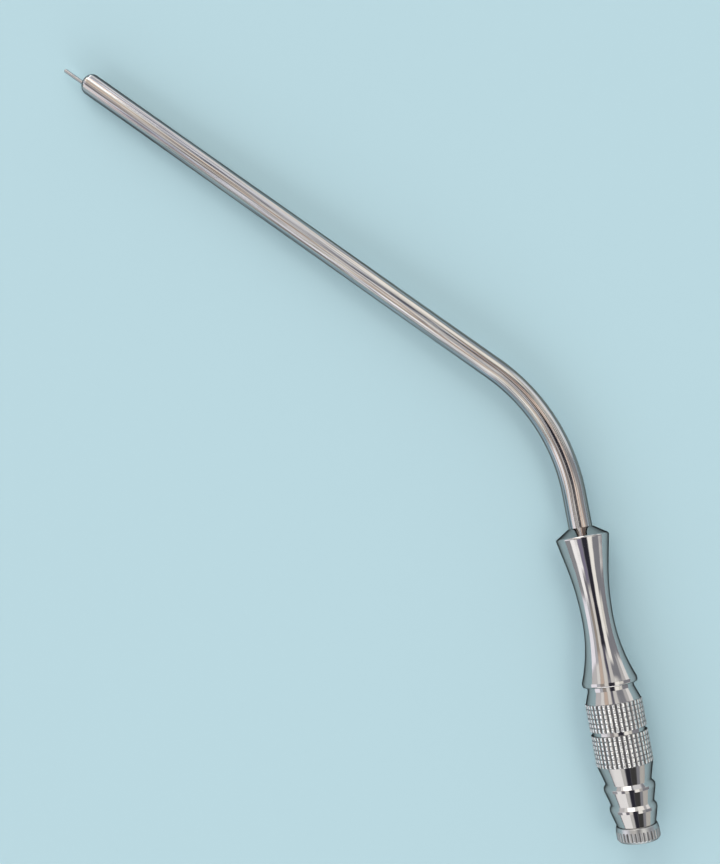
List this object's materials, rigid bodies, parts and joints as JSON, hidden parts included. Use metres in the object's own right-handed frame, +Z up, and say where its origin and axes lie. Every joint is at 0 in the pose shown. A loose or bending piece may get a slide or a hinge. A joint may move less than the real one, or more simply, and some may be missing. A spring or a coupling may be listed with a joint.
{
  "type": "angled suction tube with stylet",
  "caption": "Angled metal suction tube with a waisted turned grip, knurled bands, a ribbed hose connector and a removable stylet wire with a serrated knob.",
  "frame": {"origin": "on the surface that the part lies on, under the middle of its bounding box", "axes": "+Z up from that surface, +Y from the stylet knob towards the tube's tip along the grip, -X the side that the tube bends to"},
  "size_m": [0.0828, 0.1518, 0.0096],
  "materials": {
    "drawn_tube": "polished, drawn lengthwise",
    "turned_chrome": "mirror polished",
    "wire_steel": "bright drawn wire",
    "satin_steel": "satin"
  },
  "bodies": {
    "root": {"suction_tube": "drawn_tube", "grip": "turned_chrome", "hose_connector": "turned_chrome", "stylet_wire": "wire_steel", "stylet_knob": "satin_steel"}
  },
  "joints": []
}
